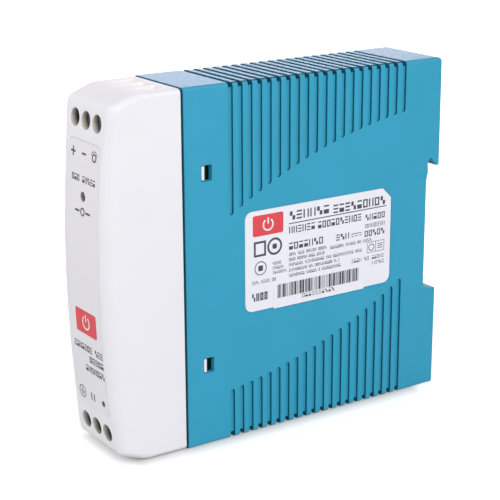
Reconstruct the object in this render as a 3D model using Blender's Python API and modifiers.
"""DIN rail power supply, 22.5 x 90 x 100 mm, modelled as an assembly of its separate pieces.

Frame: +Z is up, the front faces -Y, the rail side faces +Y, and the origin lies under the middle
of the body. Lengths in this file are in millimetres, and the helpers turn them into metres.
"""

import math

import bmesh
import bpy
from mathutils import Matrix, Vector

MM = 0.001

# Driving dimensions of the case
WIDTH = 22.5
HEIGHT = 90.0
DEPTH = 100.0
HALF_WIDTH = WIDTH / 2
MID_Z = HEIGHT / 2
FRONT_Y = -DEPTH / 2
BACK_Y = DEPTH / 2
SEAM_Y = -28.8
SEAM_GAP = 0.5
CONTACT_GAP = 0.3

# Housing
SIDE_WALL = 1.6
ROOF_WALL = 1.2
RIM_WALL = 1.9
RIM_DEPTH = 3.8
CAVITY_HALF = HALF_WIDTH - SIDE_WALL
LONG_EDGE_ROUND = 0.9
BACK_EDGE_ROUND = 0.25
BACK_CORNER = 0.35
RECESS_EDGE_ROUND = 0.2
HOUSING_FRONT_Y = SEAM_Y + SEAM_GAP / 2
CAVITY_BACK_Y = 44.0
SPIGOT_HALF = 10.15
SPIGOT_MARGIN = 1.15
SPIGOT_LENGTH = 2.05

# Rail recess, made for a 35 mm rail with 1 mm flanges
RECESS_WALL_Y = 45.85
BLOCK_TOP_Z = 28.2
BLOCK_BACK_Z = 27.5
HOOK_APEX = (47.3, 63.65)
HOOK_TIP_Z = 61.45

# Vent slots across the roof and floor, and the grooves that carry them down both sides
VENT_COUNT = 20
VENT_PITCH = 2.78
VENT_WIDTH = 1.28
FIRST_VENT_Y = -16.11
GROOVE_DEPTH = 0.7
VENT_DEPTH = 1.3
GROOVE_ARC_Y = 57.6
GROOVE_ARC_Z = -61.2
GROOVE_ARC_RADIUS = 139.65
GROOVE_END_STEPS = 4

# Snap windows and the cover's hooks
SNAP_OFFSET_Z = 24.15
WINDOW_HALF_HEIGHT = 1.95
WINDOW_FRONT_Y = -23.8
WINDOW_BACK_Y = -20.85
HOOK_HALF_HEIGHT = 1.75

# Front cover
COVER_HALF = 11.15
COVER_STEP = 0.15
COVER_WALL = 1.8
COVER_REAR_Y = SEAM_Y - SEAM_GAP / 2
COVER_FRONT_RADIUS = 330.0
COVER_CORNER = 42.49
COVER_BEND_Y = -40.6
COVER_BEND_RADIUS = 11.0
COVER_NOSE_RADIUS = 2.2
COVER_EDGE_ROUND = 1.2
COVER_FRONT_ROUND = 2.8
COVER_NOSE_ROUND = 2.0
SKIRT_WALL = 0.75
SKIRT_LENGTH = 1.85

# Labels
PANEL_HALF = 7.8
PANEL_LOW_Z = 11.6
PANEL_HIGH_Z = 78.1
PANEL_ROUND = 1.7
PANEL_DEPTH = 0.3
FILM = 0.2
FILM_MARGIN = 0.12
LABEL_LOW = (-11.5, 32.1)
LABEL_HIGH = (34.0, 57.75)
LABEL_ROUND = 2.0
LABEL_CHAMFER = 2.75
LABEL_RECESS = 0.28
LABEL_FILM = 0.12
STICKER_LOW = (-3.1, 31.7)
STICKER_HIGH = (25.4, 38.2)
STICKER_FILM = 0.08

# Terminals: three poles above and three below
POLE_PITCH = 5.3
POLE_X = (-POLE_PITCH, 0.0, POLE_PITCH)
TERMINAL_OFFSET_Z = 37.9
ACCESS_RADIUS = 2.15
ENTRY_HALF = 2.1
ENTRY_FRONT_Y = -36.8
ENTRY_BACK_Y = -31.2
BLOCK_HALF = 8.05
CHAMBER_HALF = 2.25
WELL_RADIUS = 2.0
SCREW_HEAD_RADIUS = 1.92
SCREW_SHANK_RADIUS = 1.25
SCREW_FRONT_Y = -44.4
CAGE_TRAVEL = 2.5
LIGHT_Z = 65.0
LIGHT_HOLE_RADIUS = 1.25

# Rail latch
LATCH_HALF = 4.9
CHANNEL_HALF = 5.2
CHANNEL_FRONT_Y = 43.0
SPRING_LOW_Z = 8.7
SPRING_HIGH_Z = 19.7
SPRING_Y = 46.9
SPRING_RADIUS = 1.9
SPRING_WIRE = 0.25
SPRING_TURNS = 6

# Boards
BOARD_FRONT_X = 6.0
BOARD_BACK_X = 7.6
SOLDER_X = BOARD_FRONT_X - 0.2
SEAT_X = BOARD_FRONT_X - CONTACT_GAP

# Finishes: linear colour, roughness, metallic
FINISHES = {
    "teal_plastic": ((0.047, 0.342, 0.527), 0.45, 0.0),
    "white_plastic": ((0.84, 0.835, 0.86), 0.42, 0.0),
    "label_film": ((0.87, 0.86, 0.90), 0.35, 0.0),
    "clear_plastic": ((0.20, 0.23, 0.22), 0.15, 0.0),
    "latch_plastic": ((0.70, 0.70, 0.69), 0.45, 0.0),
    "spring_steel": ((0.55, 0.55, 0.56), 0.25, 1.0),
    "terminal_green": ((0.03, 0.22, 0.10), 0.45, 0.0),
    "zinc_plate": ((0.62, 0.62, 0.60), 0.3, 1.0),
    "tinned_copper": ((0.72, 0.70, 0.66), 0.3, 1.0),
    "board_green": ((0.02, 0.14, 0.06), 0.4, 0.0),
    "black_epoxy": ((0.02, 0.02, 0.022), 0.5, 0.0),
    "fish_paper": ((0.60, 0.57, 0.48), 0.8, 0.0),
    "ferrite": ((0.05, 0.05, 0.055), 0.6, 0.0),
    "copper_wire": ((0.62, 0.27, 0.10), 0.35, 1.0),
    "coil_tape": ((0.80, 0.58, 0.06), 0.5, 0.0),
    "bobbin_plastic": ((0.03, 0.03, 0.03), 0.55, 0.0),
    "capacitor_sleeve": ((0.03, 0.035, 0.05), 0.35, 0.0),
    "blue_epoxy": ((0.03, 0.12, 0.45), 0.5, 0.0),
    "green_epoxy": ((0.05, 0.22, 0.08), 0.5, 0.0),
    "yellow_plastic": ((0.78, 0.55, 0.05), 0.5, 0.0),
    "heatsink_aluminium": ((0.60, 0.60, 0.61), 0.35, 1.0),
}


def fresh_scene():
    for obj in list(bpy.data.objects):
        bpy.data.objects.remove(obj, do_unlink=True)
    for name in ("din_rail_power_supply", "cutters"):
        collection = bpy.data.collections.new(name)
        bpy.context.scene.collection.children.link(collection)
    bpy.data.collections["cutters"].hide_render = True


def finish_material(finish):
    if finish in bpy.data.materials:
        return bpy.data.materials[finish]
    colour, roughness, metallic = FINISHES[finish]
    material = bpy.data.materials.new(finish)
    material.use_nodes = True
    shader = material.node_tree.nodes["Principled BSDF"]
    shader.inputs["Base Color"].default_value = (*colour, 1.0)
    shader.inputs["Roughness"].default_value = roughness
    shader.inputs["Metallic"].default_value = metallic
    return material


def place(mesh, name, finish, origin, matrix=None):
    """Make a named object of the mesh. With no finish it is a cutter or an operand, not a piece."""
    obj = bpy.data.objects.new(name, mesh)
    obj.matrix_world = Matrix.Translation(Vector(origin) * MM) @ (matrix or Matrix())
    if finish is None:
        bpy.data.collections["cutters"].objects.link(obj)
        obj.hide_render = True
        obj.display_type = "WIRE"
    else:
        mesh.materials.append(finish_material(finish))
        bpy.data.collections["din_rail_power_supply"].objects.link(obj)
    return obj


def mesh_of(bm, name):
    """Close the bmesh into a mesh in metres, welded, with its faces pointing out."""
    bmesh.ops.remove_doubles(bm, verts=bm.verts, dist=1e-4)
    bmesh.ops.dissolve_degenerate(bm, edges=bm.edges, dist=1e-4)
    bmesh.ops.recalc_face_normals(bm, faces=bm.faces)
    bmesh.ops.scale(bm, vec=(MM, MM, MM), verts=bm.verts)
    mesh = bpy.data.meshes.new(name)
    bm.to_mesh(mesh)
    bm.free()
    return mesh


def add_box(bm, low, high, bevel=0.0, segments=2):
    """Add a box between two corners, with all its edges rounded if bevel is set."""
    made = bmesh.ops.create_cube(bm, size=1.0)["verts"]
    size = [high[i] - low[i] for i in range(3)]
    middle = [(high[i] + low[i]) / 2 for i in range(3)]
    bmesh.ops.scale(bm, vec=size, verts=made)
    bmesh.ops.translate(bm, vec=middle, verts=made)
    if bevel:
        edges = {edge for vert in made for edge in vert.link_edges}
        bmesh.ops.bevel(bm, geom=list(edges), offset=bevel, segments=segments, profile=0.5,
                        affect="EDGES")


def box(name, low, high, finish=None, bevel=0.0, origin=(0, 0, 0), segments=2):
    bm = bmesh.new()
    add_box(bm, low, high, bevel, segments)
    return place(mesh_of(bm, name), name, finish, origin)


def boxes(name, corner_pairs):
    """Several separate boxes as one cutter."""
    bm = bmesh.new()
    for low, high in corner_pairs:
        add_box(bm, low, high)
    return place(mesh_of(bm, name), name, None, (0, 0, 0))


AXIS_TURN = {
    "X": Matrix.Rotation(math.radians(90), 4, "Y"),
    "-X": Matrix.Rotation(math.radians(-90), 4, "Y"),
    "Y": Matrix.Rotation(math.radians(-90), 4, "X"),
    "-Y": Matrix.Rotation(math.radians(90), 4, "X"),
    "Z": Matrix(),
}


def rods(name, centres, axis, radius, length, sides, finish=None):
    """Cylinders of one size about the given centres, along one axis."""
    bm = bmesh.new()
    for centre in centres:
        turn = Matrix.Translation(centre) @ AXIS_TURN[axis]
        bmesh.ops.create_cone(bm, cap_ends=True, segments=sides, radius1=radius, radius2=radius,
                              depth=length, matrix=turn)
    return place(mesh_of(bm, name), name, finish, (0, 0, 0))


def prism(name, outline, axis, low, high, finish=None, origin=(0, 0, 0)):
    """A flat outline pushed along an axis. The outline lists the two other coordinates in order."""
    spots = {
        "X": lambda u, v, level: (level, u, v),
        "Y": lambda u, v, level: (u, level, v),
        "Z": lambda u, v, level: (u, v, level),
    }[axis]
    bm = bmesh.new()
    face = bm.faces.new([bm.verts.new(spots(u, v, low)) for u, v in outline])
    pushed = bmesh.ops.extrude_face_region(bm, geom=[face])["geom"]
    verts = [part for part in pushed if isinstance(part, bmesh.types.BMVert)]
    bmesh.ops.translate(bm, vec=spots(0, 0, high - low), verts=verts)
    return place(mesh_of(bm, name), name, finish, origin)


def turned(name, profile, axis, origin, sides, finish=None):
    """A turned shape. The profile lists (radius, height) from its top to its foot on the axis."""
    bm = bmesh.new()
    verts = [bm.verts.new((radius * MM, 0, height * MM)) for radius, height in profile]
    for first, second in zip(verts, verts[1:]):
        bm.edges.new((first, second))
    mesh = bpy.data.meshes.new(name)
    bm.to_mesh(mesh)
    bm.free()
    obj = place(mesh, name, finish, origin, AXIS_TURN[axis])
    spin = obj.modifiers.new("spin", "SCREW")
    spin.steps = sides
    spin.render_steps = sides
    spin.use_merge_vertices = True
    spin.merge_threshold = 1e-6
    return obj


def cut(obj, *cutters):
    for cutter in cutters:
        modifier = obj.modifiers.new("cut_" + cutter.name, "BOOLEAN")
        modifier.operation = "DIFFERENCE"
        modifier.object = cutter
    return obj


def join(obj, *others):
    for other in others:
        modifier = obj.modifiers.new("join_" + other.name, "BOOLEAN")
        modifier.operation = "UNION"
        modifier.object = other
    return obj


def weld(obj):
    """Merge the near-duplicate points that Booleans leave where cutters share a plane."""
    modifier = obj.modifiers.new("weld", "WELD")
    modifier.merge_threshold = 2e-6


def mirrored_pairs(low, high):
    """The box between two corners and its mirror image on the other side of the body."""
    other_low = (-high[0], low[1], low[2])
    other_high = (-low[0], high[1], high[2])
    return [(low, high), (other_low, other_high)]


def rounded_outline(corners, steps=4):
    """Turn (u, v, radius) corners into points, with an arc at each corner that has a radius."""
    points = []
    count = len(corners)
    for i, (u, v, radius) in enumerate(corners):
        here = Vector((u, v))
        if not radius:
            points.append((u, v))
            continue
        before = (Vector(corners[i - 1][:2]) - here).normalized()
        after = (Vector(corners[(i + 1) % count][:2]) - here).normalized()
        half = before.angle(after) / 2
        centre = here + (before + after).normalized() * radius / math.sin(half)
        start = here + before * radius / math.tan(half) - centre
        sweep = start.angle_signed(here + after * radius / math.tan(half) - centre)
        for step in range(steps + 1):
            angle = -sweep * step / steps
            spot = centre + Matrix.Rotation(angle, 2) @ start
            points.append((spot.x, spot.y))
    return points


def inset_outline(points, distances):
    """Move each edge of an anticlockwise outline inwards by its own distance."""
    moved = []
    for i, point in enumerate(points):
        here = Vector(point)
        coming = (here - Vector(points[i - 1])).normalized()
        going = (Vector(points[(i + 1) % len(points)]) - here).normalized()
        first, second = Vector((-coming.y, coming.x)), Vector((-going.y, going.x))
        near, far = distances[i - 1], distances[i]
        if abs(first.cross(second)) < 0.3:
            normal = (first + second).normalized()
            moved.append(here + normal * max(near, far) / normal.dot(first))
            continue
        spread = first.x * second.y - first.y * second.x
        shift_u = (near * second.y - far * first.y) / spread
        shift_v = (first.x * far - second.x * near) / spread
        moved.append(here + Vector((shift_u, shift_v)))
    return [(point.x, point.y) for point in moved]


def is_twisted(face):
    """Whether a four-sided face isn't flat. A Boolean needs such a face as triangles."""
    first, second, third, fourth = [vert.co for vert in face.verts]
    normal = (second - first).cross(third - first)
    return normal.length > 1e-9 and abs(normal.normalized().dot(fourth - first)) > 1e-5


def rounded_prism(name, outline, rounds, half_width, finish=None, steps=3):
    """A side outline across the width, where each edge meets the flat sides with its own radius."""
    bm = bmesh.new()
    rings = []
    corner_rounds = [max(rounds[i - 1], rounds[i]) for i in range(len(rounds))]
    for step in range(steps + 1):
        angle = math.pi / 2 * step / steps
        spots = inset_outline(outline, [r * (1 - math.cos(angle)) for r in rounds])
        depths = [half_width - r * (1 - math.sin(angle)) for r in corner_rounds]
        rings.append([(x, y, z) for x, (y, z) in zip(depths, spots)])
    mirrored = [[(-x, y, z) for x, y, z in ring] for ring in rings]
    loops = [[bm.verts.new(spot) for spot in ring] for ring in mirrored[::-1] + rings]
    strips = []
    for first, second in zip(loops, loops[1:]):
        for i in range(len(outline)):
            strips.append(bm.faces.new((first[i - 1], first[i], second[i], second[i - 1])))
    bm.faces.new(loops[0])
    bm.faces.new(loops[-1])
    bmesh.ops.triangulate(bm, faces=[strip for strip in strips if is_twisted(strip)])
    return place(mesh_of(bm, name), name, finish, (0, 0, 0))


def flipped(z):
    """The same height counted from the other end of the case."""
    return HEIGHT - z


def both_ends(low, high):
    """A box near the top of the case and its mirror image near the bottom."""
    other_low = (low[0], low[1], flipped(high[2]))
    other_high = (high[0], high[1], flipped(low[2]))
    return [(low, high), (other_low, other_high)]


# Housing


def housing_outline():
    """The housing seen from its right side, as (y, z, corner radius), anticlockwise."""
    apex_y, apex_z = HOOK_APEX
    return rounded_outline([
        (HOUSING_FRONT_Y, 0.0, 0),
        (BACK_Y, 0.0, 0.9),
        (BACK_Y, BLOCK_BACK_Z, BACK_CORNER),
        (RECESS_WALL_Y, BLOCK_TOP_Z, 0),
        (RECESS_WALL_Y, 57.6, 0),
        (RECESS_WALL_Y + 0.5, 59.9, 0),
        (RECESS_WALL_Y + 0.35, 62.7, 0),
        (apex_y, apex_z, 0),
        (49.0, HOOK_TIP_Z, 0.3),
        (BACK_Y, HOOK_TIP_Z, BACK_CORNER),
        (BACK_Y, HEIGHT, 1.2),
        (HOUSING_FRONT_Y, HEIGHT, 0),
    ], steps=3)


def edge_rounds(outline):
    """Side rounding of each edge: large along roof and floor, small at the back, none at the seam.

    The edges of one corner arc share a rounding below the arc's radius, so that no ring crosses itself.
    """
    rounds = []
    for i, (y, z) in enumerate(outline):
        next_y, next_z = outline[(i + 1) % len(outline)]
        middle_y, middle_z = (y + next_y) / 2, (z + next_z) / 2
        if abs(middle_y - HOUSING_FRONT_Y) < 1e-6:
            rounds.append(0.0)
        elif min(middle_z, flipped(middle_z)) < 1e-6:
            rounds.append(LONG_EDGE_ROUND)
        elif min(middle_z, flipped(middle_z)) < 1.2:
            rounds.append(BACK_EDGE_ROUND + 0.2)
        elif middle_y > BACK_Y - BACK_CORNER:
            rounds.append(BACK_EDGE_ROUND)
        else:
            rounds.append(RECESS_EDGE_ROUND)
    return rounds


def housing_cavity():
    """The hollow of the housing: thick at the rim, and stepped round the rail recess."""
    rim_y = HOUSING_FRONT_Y + RIM_DEPTH
    open_y = HOUSING_FRONT_Y - 3.0
    outline = [
        (open_y, RIM_WALL), (rim_y, RIM_WALL), (rim_y, ROOF_WALL), (CHANNEL_FRONT_Y - 1.8, ROOF_WALL),
        (CHANNEL_FRONT_Y - 1.8, 30.2), (CAVITY_BACK_Y, 30.2), (CAVITY_BACK_Y, 66.0), (48.3, 66.0),
        (48.3, flipped(ROOF_WALL)), (rim_y, flipped(ROOF_WALL)), (rim_y, flipped(RIM_WALL)),
        (open_y, flipped(RIM_WALL)),
    ]
    return prism("cut_cavity", outline, "X", -CAVITY_HALF, CAVITY_HALF)


def groove_end(y):
    """Height at which the upper groove nearest y ends: the ends follow one wide arc."""
    return GROOVE_ARC_Z + math.sqrt(GROOVE_ARC_RADIUS ** 2 - (y - GROOVE_ARC_Y) ** 2)


def groove_outline(y, end_z, outside_z):
    """A groove seen from the side: a round blind end and an open end past the roof or floor."""
    radius = VENT_WIDTH / 2
    away = 1 if outside_z > end_z else -1
    points = [(y + radius, outside_z), (y - radius, outside_z)]
    for step in range(GROOVE_END_STEPS + 1):
        angle = math.pi * step / GROOVE_END_STEPS
        points.append((y - radius * math.cos(angle), end_z + away * radius * (1 - math.sin(angle))))
    return points


def vent_places():
    return [FIRST_VENT_Y - VENT_WIDTH / 2 + 1.28 + VENT_PITCH * i for i in range(VENT_COUNT)]


def groove_cutters():
    """Grooves down from the roof and up from the floor, on both sides, as one cutter."""
    bm = bmesh.new()
    floor_x = HALF_WIDTH - GROOVE_DEPTH
    places = vent_places()
    for i, y in enumerate(places):
        upper = groove_outline(y, groove_end(y), HEIGHT + 1)
        lower = groove_outline(y, flipped(groove_end(places[-1 - i])), -1)
        for outline in (upper, lower):
            for low, high in ((floor_x, HALF_WIDTH + 1), (-HALF_WIDTH - 1, -floor_x)):
                face = bm.faces.new([bm.verts.new((low, u, v)) for u, v in outline])
                pushed = bmesh.ops.extrude_face_region(bm, geom=[face])["geom"]
                verts = [part for part in pushed if isinstance(part, bmesh.types.BMVert)]
                bmesh.ops.translate(bm, vec=(high - low, 0, 0), verts=verts)
    return place(mesh_of(bm, "cut_grooves"), "cut_grooves", None, (0, 0, 0))


def vent_cutters():
    pairs = []
    for y in vent_places():
        low = (-HALF_WIDTH - 1, y - VENT_WIDTH / 2, flipped(VENT_DEPTH))
        high = (HALF_WIDTH + 1, y + VENT_WIDTH / 2, HEIGHT + 1.5)
        pairs += both_ends(low, high)
    return boxes("cut_vents", pairs)


def window_cutters():
    pairs = []
    for middle in (MID_Z - SNAP_OFFSET_Z, MID_Z + SNAP_OFFSET_Z):
        low = (CAVITY_HALF - 0.5, WINDOW_FRONT_Y, middle - WINDOW_HALF_HEIGHT)
        high = (HALF_WIDTH + 1, WINDOW_BACK_Y, middle + WINDOW_HALF_HEIGHT)
        pairs += mirrored_pairs(low, high)
    return boxes("cut_windows", pairs)


def label_outline(margin):
    """The rating label's outline, three round corners and a chamfer, grown by a margin."""
    low_y, low_z = LABEL_LOW[0] - margin, LABEL_LOW[1] - margin
    high_y, high_z = LABEL_HIGH[0] + margin, LABEL_HIGH[1] + margin
    return rounded_outline([
        (low_y, low_z, LABEL_ROUND), (high_y, low_z, LABEL_ROUND),
        (high_y, high_z - LABEL_CHAMFER, 0), (high_y - LABEL_CHAMFER, high_z, 0),
        (low_y, high_z, LABEL_ROUND),
    ])


def label_recess_cutter():
    outline = label_outline(FILM_MARGIN)
    deeper = [(y, z - 0.5 if z < LABEL_LOW[1] + LABEL_ROUND else z) for y, z in outline]
    return prism("cut_label_recess", deeper, "X", HALF_WIDTH - LABEL_RECESS, HALF_WIDTH + 1)


def latch_channel_cutters():
    """The open channel of the latch, the side grooves that guide it, and the hollow cheeks."""
    channel = box("cut_channel", (-CHANNEL_HALF, CHANNEL_FRONT_Y, -1), (CHANNEL_HALF, BACK_Y + 1, 30))
    guide = box("cut_guide", (-6.2, 46.9, 4.5), (6.2, 48.1, 24.4))
    cheeks = boxes("cut_cheeks", mirrored_pairs((6.8, CHANNEL_FRONT_Y - 3, ROOF_WALL), (9.4, 48.4, 26.3)))
    return channel, guide, cheeks


def card_guides():
    """Short ribs on roof and floor, before and behind the vents, that hold the main board's edges."""
    pairs = []
    for front, back in ((-20.4, -17.4), (38.4, 40.2)):
        for low_x, high_x in ((5.0, 5.6), (8.0, 8.6)):
            pairs += both_ends((low_x, front, 86.6), (high_x, back, flipped(ROOF_WALL) + 0.4))
    return boxes("join_guides", pairs)


def make_housing():
    outline = housing_outline()
    housing = rounded_prism("housing", outline, edge_rounds(outline), HALF_WIDTH, "teal_plastic",
                            steps=2)
    low, high = SPIGOT_MARGIN, flipped(SPIGOT_MARGIN)
    front, back = HOUSING_FRONT_Y - SPIGOT_LENGTH, HOUSING_FRONT_Y + 0.6
    spigot_outline = [(front, low), (back, low), (back, high), (front, high)]
    spigot = rounded_prism("join_spigot", spigot_outline, [0.6, 0.0, 0.6, 0.0], SPIGOT_HALF, steps=2)
    join(housing, spigot)
    cut(housing, housing_cavity())
    cut(housing, *latch_channel_cutters())
    cut(housing, vent_cutters(), groove_cutters(), window_cutters(), label_recess_cutter())
    post = box("join_spring_post", (-2.4, CHANNEL_FRONT_Y - 0.6, 6.0), (2.4, 48.6, 8.4))
    join(housing, post, card_guides())
    weld(housing)


# Front cover


def front_sag(z):
    """How far the bowed front face falls back at height z."""
    return COVER_FRONT_RADIUS - math.sqrt(COVER_FRONT_RADIUS ** 2 - (z - MID_Z) ** 2)


def cover_outline():
    """The cover seen from its right side, anticlockwise from its lower rear corner."""
    top = flipped(COVER_STEP)
    nose_y = FRONT_Y + front_sag(MID_Z + COVER_CORNER)
    bow = [MID_Z + 38.0 - 9.5 * i for i in range(9)]
    return rounded_outline([
        (COVER_REAR_Y, COVER_STEP, 0),
        (COVER_REAR_Y, top, 0),
        (COVER_BEND_Y, top, COVER_BEND_RADIUS),
        (nose_y, MID_Z + COVER_CORNER, COVER_NOSE_RADIUS),
        *[(FRONT_Y + front_sag(z), z, 0) for z in bow],
        (nose_y, MID_Z - COVER_CORNER, COVER_NOSE_RADIUS),
        (COVER_BEND_Y, COVER_STEP, COVER_BEND_RADIUS),
    ])


def cover_rounds(outline):
    """Side rounding grows from the seam to the front. The rear edge, the first one, has none.

    It stays below the nose's own radius there, so that no ring of the cover crosses itself.
    """
    rounds = [0.0]
    for (y, z), (next_y, next_z) in zip(outline[1:], outline[2:] + outline[:1]):
        share = min(max(((y + next_y) / 2 + 38.0) / -8.0, 0.0), 1.0)
        in_bow = abs((z + next_z) / 2 - MID_Z) < 33
        widest = COVER_FRONT_ROUND if in_bow else COVER_NOSE_ROUND
        rounds.append(COVER_EDGE_ROUND + (widest - COVER_EDGE_ROUND) * share)
    return rounds


def cover_cavity(outline, rounds):
    distances = [COVER_WALL] * len(outline)
    distances[0] = -3.0
    inner = inset_outline(outline, distances)
    inner_rounds = [0.0] + [max(r - COVER_WALL, 0.3) for r in rounds[1:]]
    return rounded_prism("cut_cover_cavity", inner, inner_rounds, COVER_HALF - COVER_WALL, steps=2)


def cover_rebate():
    low, high = COVER_STEP + SKIRT_WALL, flipped(COVER_STEP + SKIRT_WALL)
    outline = [(COVER_REAR_Y - SKIRT_LENGTH, low), (COVER_REAR_Y + 3, low),
               (COVER_REAR_Y + 3, high), (COVER_REAR_Y - SKIRT_LENGTH, high)]
    return rounded_prism("cut_rebate", outline, [0.6, 0, 0.6, 0], COVER_HALF - SKIRT_WALL, steps=2)


def snap_arm(number, side, middle):
    """A spring arm of the cover, from its root in the side wall to the hook in the window."""
    shape = [(8.1, -37.0), (9.9, -37.0), (9.9, -33.2), (9.3, -32.6), (9.3, -23.6), (10.95, -23.6),
             (10.95, -22.8), (9.3, -22.1), (8.1, -22.1)]
    outline = [(side * x, y) for x, y in shape]
    low, high = middle - HOOK_HALF_HEIGHT, middle + HOOK_HALF_HEIGHT
    return prism(f"join_arm_{number}", outline, "Z", low, high)


def entry_cutters():
    """The wire entries through the roof and floor of the cover."""
    cutters = []
    for number, x in enumerate(POLE_X):
        outline = rounded_outline([
            (x - ENTRY_HALF, ENTRY_FRONT_Y, 0.9), (x + ENTRY_HALF, ENTRY_FRONT_Y, 0.9),
            (x + ENTRY_HALF, ENTRY_BACK_Y, 0.9), (x - ENTRY_HALF, ENTRY_BACK_Y, 0.9),
        ], steps=2)
        cutters.append(prism(f"cut_entry_top_{number}", outline, "Z", 86.5, 91.0))
        cutters.append(prism(f"cut_entry_low_{number}", outline, "Z", -1.0, 3.5))
    return cutters


def curved_plate(name, low_z, high_z, half, corner, near, far, finish=None):
    """A plate bowed like the cover's front. near and far give its front and back faces' y at z."""
    bows = [low_z + corner + (high_z - low_z - 2 * corner) * i / 8 for i in range(1, 8)]
    stations = []
    for step in range(5):
        angle = math.pi / 2 * step / 4
        stations.append((low_z + corner * (1 - math.cos(angle)), half - corner * (1 - math.sin(angle))))
    stations += [(z, half) for z in bows]
    for step in range(5):
        angle = math.pi / 2 * (1 - step / 4)
        stations.append((high_z - corner * (1 - math.cos(angle)), half - corner * (1 - math.sin(angle))))
    bm = bmesh.new()
    loops = []
    for z, reach in stations:
        spots = [(-reach, near(z)), (reach, near(z)), (reach, far(z)), (-reach, far(z))]
        loops.append([bm.verts.new((x, y, z)) for x, y in spots])
    for first, second in zip(loops, loops[1:]):
        for i in range(4):
            bm.faces.new((first[i - 1], first[i], second[i], second[i - 1]))
    bm.faces.new(loops[0])
    bm.faces.new(loops[-1])
    return place(mesh_of(bm, name), name, finish, (0, 0, 0))


def make_cover():
    outline = cover_outline()
    rounds = cover_rounds(outline)
    cover = rounded_prism("front_cover", outline, rounds, COVER_HALF, "white_plastic", steps=4)
    cut(cover, cover_cavity(outline, rounds), cover_rebate())
    for number, z in enumerate((MID_Z - TERMINAL_OFFSET_Z, MID_Z + TERMINAL_OFFSET_Z)):
        centres = [(x, FRONT_Y + 3, z) for x in POLE_X]
        cut(cover, rods(f"cut_access_{number}", centres, "Y", ACCESS_RADIUS, 9, 20))
    cut(cover, *entry_cutters())
    floor = FRONT_Y + PANEL_DEPTH
    cut(cover, curved_plate("cut_panel", PANEL_LOW_Z, PANEL_HIGH_Z, PANEL_HALF, PANEL_ROUND,
                            lambda z: FRONT_Y - 3, lambda z: floor + front_sag(z)))
    cut(cover, rods("cut_light_hole", [(0, FRONT_Y + 2, LIGHT_Z)], "Y", LIGHT_HOLE_RADIUS, 8, 16))
    places = [(side, MID_Z + up * SNAP_OFFSET_Z) for side in (-1, 1) for up in (-1, 1)]
    join(cover, *[snap_arm(number, side, z) for number, (side, z) in enumerate(places)])


def make_labels():
    back = FRONT_Y + PANEL_DEPTH - 0.04
    film = curved_plate("front_label", PANEL_LOW_Z + FILM_MARGIN, PANEL_HIGH_Z - FILM_MARGIN,
                        PANEL_HALF - FILM_MARGIN, PANEL_ROUND, lambda z: back - FILM + front_sag(z),
                        lambda z: back + front_sag(z), "label_film")
    cut(film, rods("cut_label_hole", [(0, FRONT_Y + 2, LIGHT_Z)], "Y", LIGHT_HOLE_RADIUS, 8, 16))
    label_x = HALF_WIDTH - LABEL_RECESS + 0.03
    sticker_x = label_x + LABEL_FILM + 0.02
    prism("rating_label", label_outline(0.0), "X", label_x, label_x + LABEL_FILM, "label_film")
    box("serial_sticker", (sticker_x, *STICKER_LOW), (sticker_x + STICKER_FILM, *STICKER_HIGH),
        "label_film")


# Terminals, built at the top and turned over for the bottom


def turned_over(points, end):
    """The (y, z) points as they are at the top, or mirrored to the bottom."""
    return points if end == "top" else [(y, flipped(z)) for y, z in points]


def end_z(z, end):
    return z if end == "top" else flipped(z)


def pole_boxes(name, reach, low, high, end):
    """One box per pole, reach to each side of the pole, between two (y, z) corners."""
    low_z, high_z = sorted((end_z(low[1], end), end_z(high[1], end)))
    return boxes(name, [((x - reach, low[0], low_z), (x + reach, high[0], high_z)) for x in POLE_X])


def make_terminal_block(name, end):
    """Moulded body for three poles: screw wells in front, cage chambers, wire entries, pin slots."""
    side = [(-45.0, 75.5), (-30.8, 75.5), (-30.8, 87.4), (-40.5, 87.4), (-45.0, 85.6)]
    body = prism(name, turned_over(side, end), "X", -BLOCK_HALF, BLOCK_HALF, "terminal_green")
    z = end_z(MID_Z + TERMINAL_OFFSET_Z, end)
    wells = rods(f"cut_{name}_wells", [(x, -44.7, z) for x in POLE_X], "Y", WELL_RADIUS, 4.0, 24)
    necks = rods(f"cut_{name}_necks", [(x, -42.5, z) for x in POLE_X], "Y", 1.4, 2.0, 16)
    cut(body, wells, necks)
    cut(body, pole_boxes(f"cut_{name}_chambers", CHAMBER_HALF, (-42.1, 79.7), (ENTRY_BACK_Y, 86.0), end))
    cut(body, pole_boxes(f"cut_{name}_entries", 2.2, (-36.9, 85.5), (ENTRY_BACK_Y, 88.5), end))
    cut(body, pole_boxes(f"cut_{name}_drops", 1.35, (-37.9, 76.8), (-36.7, 80.2), end))
    cut(body, pole_boxes(f"cut_{name}_feet", 1.35, (-37.9, 76.8), (-30.0, 78.0), end))


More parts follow.
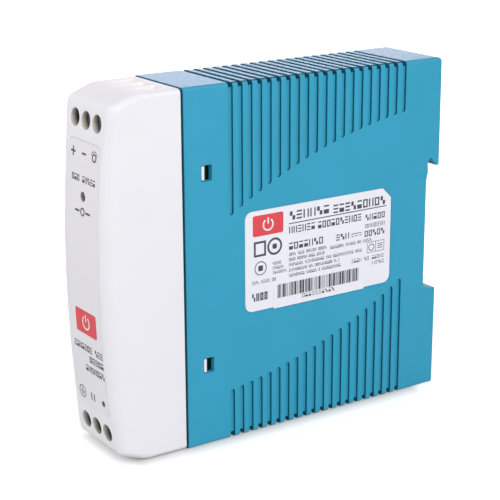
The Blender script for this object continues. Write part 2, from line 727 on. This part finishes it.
def make_pole(number, x, end):
    """The screw, the cage that it draws up and the contact pin of one pole."""
    z = end_z(MID_Z + TERMINAL_OFFSET_Z, end)
    head, shank = SCREW_HEAD_RADIUS, SCREW_SHANK_RADIUS
    profile = [(0, 6.4), (shank, 6.4), (shank, 1.6), (head, 1.6), (head, 0.3), (head - 0.3, 0), (0, 0)]
    screw = turned(f"terminal_screw_{number}", profile, "Y", (x, SCREW_FRONT_Y, z), 20, "zinc_plate")
    arm, thin = 1.35, 0.3
    cross = [(arm, thin), (thin, thin), (thin, arm), (-thin, arm), (-thin, thin), (-arm, thin),
             (-arm, -thin), (-thin, -thin), (-thin, -arm), (thin, -arm), (thin, -thin), (arm, -thin)]
    recess = prism(f"cut_recess_{number}", cross, "Y", -1.0, 0.8, origin=(x, SCREW_FRONT_Y, z))
    cut(screw, recess)

    cage_y = SCREW_FRONT_Y + 5.0
    cage = box(f"clamp_cage_{number}", (-2.1, 0, -2.7), (2.1, 7.8, 2.7), "zinc_plate",
               origin=(x, cage_y, end_z(82.7, end)))
    inside = box(f"cut_cage_{number}", (x - 1.6, cage_y + 1.2, z - 6), (x + 1.6, cage_y + 6.8, z + 6))
    thread = rods(f"cut_thread_{number}", [(x, cage_y, z)], "Y", 1.36, 3.0, 16)
    cut(cage, inside, thread)

    bar = [(-37.7, 85.2), (-37.7, 77.0), (-27.3, 77.0), (-27.3, 77.8), (-36.9, 77.8), (-36.9, 85.2)]
    prism(f"terminal_pin_{number}", turned_over(bar, end), "X", x - 0.9, x + 0.9, "tinned_copper")


def make_terminals():
    make_terminal_block("output_terminal_block", "top")
    make_terminal_block("input_terminal_block", "bottom")
    for number, x in enumerate(POLE_X, start=1):
        make_pole(number, x, "top")
        make_pole(number + 3, x, "bottom")


# Rail latch


def make_latch():
    """The sprung slider of the foot: its beak locks the rail, and the slot takes a screwdriver."""
    origin = (0, 47.5, 0)
    side = [(46.3, 0.6), (48.8, 0.6), (48.8, 27.5), (49.7, 28.6), (49.7, 29.4), (48.6, 31.0),
            (47.5, 31.0), (47.5, 28.0), (46.3, 28.0)]
    outline = [(y - origin[1], z) for y, z in side]
    latch = prism("din_latch", outline, "X", -LATCH_HALF, LATCH_HALF, "latch_plastic", origin)
    join(latch, box("join_latch_ribs", (-5.9, 47.1, 9.0), (5.9, 47.9, 24.1)))
    cut(latch, box("cut_spring_window", (-2.9, 45.0, 5.7), (2.9, 50.0, 20.0)))
    cut(latch, box("cut_driver_slot", (-2.5, 45.0, 1.7), (2.5, 50.0, 3.5)))


def spring_points():
    """Points along the coil. The end turns lie close, like ground ends."""
    per_turn = 8
    count = SPRING_TURNS * per_turn
    low, high = SPRING_LOW_Z + SPRING_WIRE, SPRING_HIGH_Z - SPRING_WIRE
    points = []
    for i in range(count + 1):
        turn = i / per_turn
        share = min(max((turn - 0.8) / (SPRING_TURNS - 1.6), 0.0), 1.0)
        ends = 0.5 * (min(turn, 0.8) + max(turn - SPRING_TURNS + 0.8, 0.0))
        height = low + ends + (high - low - 0.8) * share
        angle = 2 * math.pi * turn
        points.append((SPRING_RADIUS * math.cos(angle), SPRING_Y + SPRING_RADIUS * math.sin(angle), height))
    return points


def make_spring():
    curve = bpy.data.curves.new("latch_spring", "CURVE")
    curve.dimensions = "3D"
    curve.bevel_depth = SPRING_WIRE * MM
    curve.bevel_resolution = 2
    curve.use_fill_caps = True
    spline = curve.splines.new("POLY")
    points = spring_points()
    spline.points.add(len(points) - 1)
    for target, point in zip(spline.points, points):
        target.co = (*[value * MM for value in point], 1.0)
    curve.materials.append(finish_material("spring_steel"))
    spring = bpy.data.objects.new("latch_spring", curve)
    bpy.data.collections["din_rail_power_supply"].objects.link(spring)


# Boards


def make_boards():
    front = box("terminal_board", (-7.8, -29.6, 3.5), (7.8, -28.0, 86.5), "board_green")
    for end in ("top", "bottom"):
        cut(front, pole_boxes(f"cut_board_{end}", 1.1, (-30.5, 76.8), (-27.0, 78.0), end))
    box("main_board", (BOARD_FRONT_X, -26.5, 2.3), (BOARD_BACK_X, 40.5, 87.7), "board_green")
    box("insulation_sheet", (8.9, -18.0, 3.0), (9.15, 40.0, 87.0), "fish_paper")
    for name, low in (("header_output", 64.0), ("header_input", 14.0)):
        header = box(name, (3.2, -26.2, low), (SEAT_X, -23.6, low + 10.0), "black_epoxy", bevel=0.25,
                     segments=1)
        for i in range(3):
            z = low + 2.0 + 3.0 * i
            join(header, box(f"join_{name}_{i}", (4.0, -27.7, z - 0.32), (4.64, -25.5, z + 0.32)))


def make_light():
    y = FRONT_Y + front_sag(LIGHT_Z) + 0.15
    profile = [(0, 18.2), (1.1, 18.2), (1.1, 3.2), (1.8, 3.2), (1.8, 2.2), (1.1, 2.2), (1.1, 0.3),
               (0.8, 0.08), (0, 0)]
    turned("light_pipe", profile, "Y", (0, y, LIGHT_Z), 16, "clear_plastic")
    box("status_led", (-1.0, -30.7, LIGHT_Z - 0.65), (1.0, -29.9, LIGHT_Z + 0.65), "clear_plastic",
        bevel=0.15, segments=1)


# Components of the main board. They stand on its face towards -X


def with_leads(obj, name, spots, start_x, radius=0.3):
    """Add leads from inside the body down to the board at the (y, z) spots."""
    length = SOLDER_X - start_x
    for number, (y, z) in enumerate(spots):
        centre = ((SOLDER_X + start_x) / 2, y, z)
        join(obj, rods(f"join_{name}_lead_{number}", [centre], "X", radius, length, 8))
    return obj


def can(name, y, z, radius, height, finish, lead_gap):
    """A capacitor can standing on the board, with the rolled groove near its foot."""
    rim, groove = 0.5, radius - 0.45
    profile = [(0, height), (radius - rim, height), (radius, height - rim), (radius, 3.0), (groove, 2.6),
               (groove, 2.2), (radius, 1.8), (radius, 0.3), (radius - 0.4, 0), (0, 0)]
    body = turned(name, profile, "-X", (SEAT_X, y, z), 20, finish)
    return with_leads(body, name, [(y, z - lead_gap / 2), (y, z + lead_gap / 2)], SEAT_X - 1)


def disc(name, y, z, radius, thickness, finish, lead_gap):
    """A dipped disc on edge, held off the board by its two leads."""
    half, edge = thickness / 2, thickness / 4
    profile = [(0, half), (radius - edge, half), (radius, half - edge), (radius, edge - half),
               (radius - edge, -half), (0, -half)]
    x = SEAT_X - 1.2 - radius
    body = turned(name, profile, "Y", (x, y, z), 20, finish)
    return with_leads(body, name, [(y, z - lead_gap / 2), (y, z + lead_gap / 2)], x + 1)


def block(name, low, high, finish, leads, bevel=0.3, radius=0.3):
    """A moulded component, given by its (height over the board, y, z) corners."""
    body = box(name, (SEAT_X - high[0], low[1], low[2]), (SEAT_X - low[0], high[1], high[2]), finish,
               bevel=bevel, segments=1)
    return with_leads(body, name, leads, SEAT_X - low[0] - 0.8, radius)


def axial(name, start, end, y, height, radius, finish):
    """A body lying along Z between two heights of the case, with leads bent down to the board."""
    middle = (start + end) / 2
    half = (end - start) / 2
    profile = [(0, half), (radius - 0.3, half), (radius, half - 0.3), (radius, 0.3 - half),
               (radius - 0.3, -half), (0, -half)]
    x = SEAT_X - height
    body = turned(name, profile, "Z", (x, y, middle), 16, finish)
    for number, (tip, root) in enumerate(((start - 1.8, start + 1), (end + 1.8, end - 1))):
        bend = tip + math.copysign(0.6, root - tip)
        wire = [(x - 0.3, tip), (SOLDER_X, tip), (SOLDER_X, bend), (x + 0.3, bend), (x + 0.3, root),
                (x - 0.3, root)]
        join(body, prism(f"join_{name}_wire_{number}", wire, "Y", y - 0.3, y + 0.3))
    return body


def make_line_choke(y, z):
    """A rectangular core loop with a coil on each of its two legs."""
    x = SEAT_X - 5.2
    core = box("line_choke_core", (x - 1.8, y - 6.0, z - 6.5), (x + 1.8, y + 6.0, z + 6.5), "ferrite",
               bevel=0.3, segments=1)
    cut(core, box("cut_choke_window", (x - 4, y - 2.6, z - 3.4), (x + 4, y + 2.6, z + 3.4)))
    for number, side in enumerate((-1, 1), start=1):
        leg_y = y + side * 4.3
        coil = rods(f"line_choke_coil_{number}", [(x, leg_y, z)], "Z", 4.1, 6.0, 20, "copper_wire")
        cut(coil, box(f"cut_coil_{number}", (x - 2.1, leg_y - 2.0, z - 5), (x + 2.1, leg_y + 2.0, z + 5)))
        with_leads(coil, f"coil_{number}", [(leg_y, z - 2.3), (leg_y, z + 2.3)], x + 3.0)


def core_half(name, y, away, z):
    """An E core: a back wall and three legs that reach towards the other half."""
    x = SEAT_X - 7.0
    back, length = 3.0, 8.0
    outline = [(0, -10), (length, -10), (length, -7.3), (back, -7.3), (back, -2.6), (length, -2.6),
               (length, 2.6), (back, 2.6), (back, 7.3), (length, 7.3), (length, 10), (0, 10)]
    points = [(y - away * reach, z + up) for reach, up in outline]
    prism(name, points, "X", x - 2.6, x + 2.6, "ferrite")


def make_transformer(y, z):
    """The core halves, the bobbin between them and the taped winding on it."""
    x = SEAT_X - 7.0
    core_half("transformer_core_front", y - 8.1, -1, z)
    core_half("transformer_core_rear", y + 8.1, 1, z)
    bobbin = box("transformer_bobbin", (x - 3.6, y - 4.6, z - 3.6), (x + 3.6, y + 4.6, z + 3.6),
                 "bobbin_plastic")
    for number, (low, high) in enumerate(((-4.7, -4.0), (4.0, 4.7))):
        join(bobbin, box(f"join_flange_{number}", (x - 6.2, y + low, z - 6.8), (x + 6.2, y + high, z + 6.8)))
    cut(bobbin, box("cut_bobbin", (x - 2.9, y - 6, z - 2.9), (x + 2.9, y + 6, z + 2.9)))
    leads = [(y + side * 4.35, z + step * 3.0) for side in (-1, 1) for step in (-2, -1, 0, 1, 2)]
    with_leads(bobbin, "bobbin", leads, x + 5.0, radius=0.35)
    winding = box("transformer_winding", (x - 5.7, y - 3.7, z - 6.3), (x + 5.7, y + 3.7, z + 6.3),
                  "coil_tape", bevel=1.0)
    cut(winding, box("cut_winding", (x - 3.9, y - 6, z - 3.9), (x + 3.9, y + 6, z + 3.9)))


def make_switch():
    """The switching transistor flat on its upright heatsink plate."""
    heatsink = box("switch_heatsink", (-8.0, -20.0, 50.0), (SEAT_X, -4.0, 51.5), "heatsink_aluminium",
                   bevel=0.2, segments=1)
    foot = box("join_heatsink_fold", (-8.0, -20.0, 50.4), (-6.6, -4.0, 56.5))
    join(heatsink, foot)
    body = box("switching_transistor", (-4.5, -17.0, 45.2), (3.5, -7.0, 49.7), "black_epoxy",
               bevel=0.4, segments=1)
    tab = box("join_transistor_tab", (-7.6, -17.0, 48.4), (-4.0, -7.0, 49.7))
    join(body, tab)
    with_leads(body, "transistor", [(-14.54, 47.2), (-12.0, 47.2), (-9.46, 47.2)], 3.0, radius=0.4)


def make_primary_side():
    fuse_profile = [(0, 8.0), (3.8, 8.0), (4.2, 7.6), (4.2, 0), (0, 0)]
    fuse = turned("fuse", fuse_profile, "-X", (SEAT_X, -15.0, 9.0), 20, "black_epoxy")
    with_leads(fuse, "fuse", [(-15.0, 6.5), (-15.0, 11.5)], SEAT_X - 1)
    disc("inrush_thermistor", -5.0, 9.5, 4.5, 4.0, "green_epoxy", 5.0)
    disc("varistor", 2.5, 9.5, 4.5, 4.2, "blue_epoxy", 5.0)
    block("x_capacitor", (0, 8.0, 3.2), (11.0, 13.5, 16.2), "yellow_plastic", [(10.75, 4.7), (10.75, 14.7)])
    make_line_choke(26.0, 12.0)
    disc("y_capacitor", 36.5, 22.5, 3.6, 3.0, "blue_epoxy", 5.0)
    block("bridge_rectifier", (0.6, 20.0, 22.6), (3.9, 28.5, 29.1), "black_epoxy",
          [(21.5, 23.8), (21.5, 27.9), (27.0, 23.8), (27.0, 27.9)])
    bulk = turned("bulk_capacitor", [(0, 20), (5.7, 20), (6.2, 19.5), (6.2, 3.6), (5.7, 3.1), (5.7, 2.6),
                                     (6.2, 2.1), (6.2, 0.3), (5.8, 0), (0, 0)],
                  "Y", (SEAT_X - 6.5, -8.6, 30.5), 20, "capacitor_sleeve")
    x = SEAT_X - 6.5
    wire = [(x - 0.3, -7.6), (x - 0.3, -10.6), (SOLDER_X, -10.6), (SOLDER_X, -10.0), (x + 0.3, -10.0),
            (x + 0.3, -7.6)]
    for number, z in enumerate((28.0, 33.0)):
        join(bulk, prism(f"join_bulk_wire_{number}", wire, "Z", z - 0.3, z + 0.3))
    make_switch()
    block("pwm_controller", (0.2, -19.0, 38.0), (1.7, -14.0, 42.0), "black_epoxy",
          [(-18.0, 38.6), (-15.0, 38.6), (-18.0, 41.4), (-15.0, 41.4)], bevel=0.2, radius=0.25)
    axial("snubber_resistor", 41.0, 49.0, -1.0, 3.0, 1.6, "green_epoxy")
    axial("clamp_diode", 42.0, 47.0, 3.6, 2.4, 1.35, "black_epoxy")


def make_secondary_side():
    make_transformer(20.0, 45.0)
    axial("output_rectifier", 60.0, 69.0, 30.0, 3.6, 2.6, "black_epoxy")
    can("output_capacitor_1", 20.0, 65.5, 5.0, 13.0, "capacitor_sleeve", 5.0)
    can("output_capacitor_2", 8.0, 66.0, 4.0, 12.0, "capacitor_sleeve", 3.5)
    choke_profile = [(0, 10), (3.6, 10), (3.6, 8.8), (2.9, 8.5), (2.9, 1.5), (3.6, 1.2), (3.6, 0), (0, 0)]
    choke = turned("output_choke", choke_profile, "-X", (SEAT_X, -2.0, 70.0), 20, "copper_wire")
    with_leads(choke, "choke", [(-2.0, 68.0), (-2.0, 72.0)], SEAT_X - 1)
    block("optocoupler", (0.5, -14.0, 62.0), (4.0, -9.4, 68.5), "black_epoxy",
          [(-13.0, 62.8), (-10.4, 62.8), (-13.0, 67.7), (-10.4, 67.7)])
    half_round = rounded_outline([(-2.3, -1.2, 0), (2.3, -1.2, 0), (2.3, 1.6, 1.9), (-2.3, 1.6, 1.9)])
    spots = [(-14.0 + y, 77.0 + z) for y, z in half_round]
    regulator = prism("shunt_regulator", spots, "X", SEAT_X - 6.5, SEAT_X - 2.0, "black_epoxy")
    with_leads(regulator, "regulator", [(-15.27, 77.0), (-14.0, 77.0), (-12.73, 77.0)], SEAT_X - 3)


def build():
    fresh_scene()
    make_housing()
    make_cover()
    make_labels()
    make_terminals()
    make_latch()
    make_spring()
    make_boards()
    make_light()
    make_primary_side()
    make_secondary_side()


build()
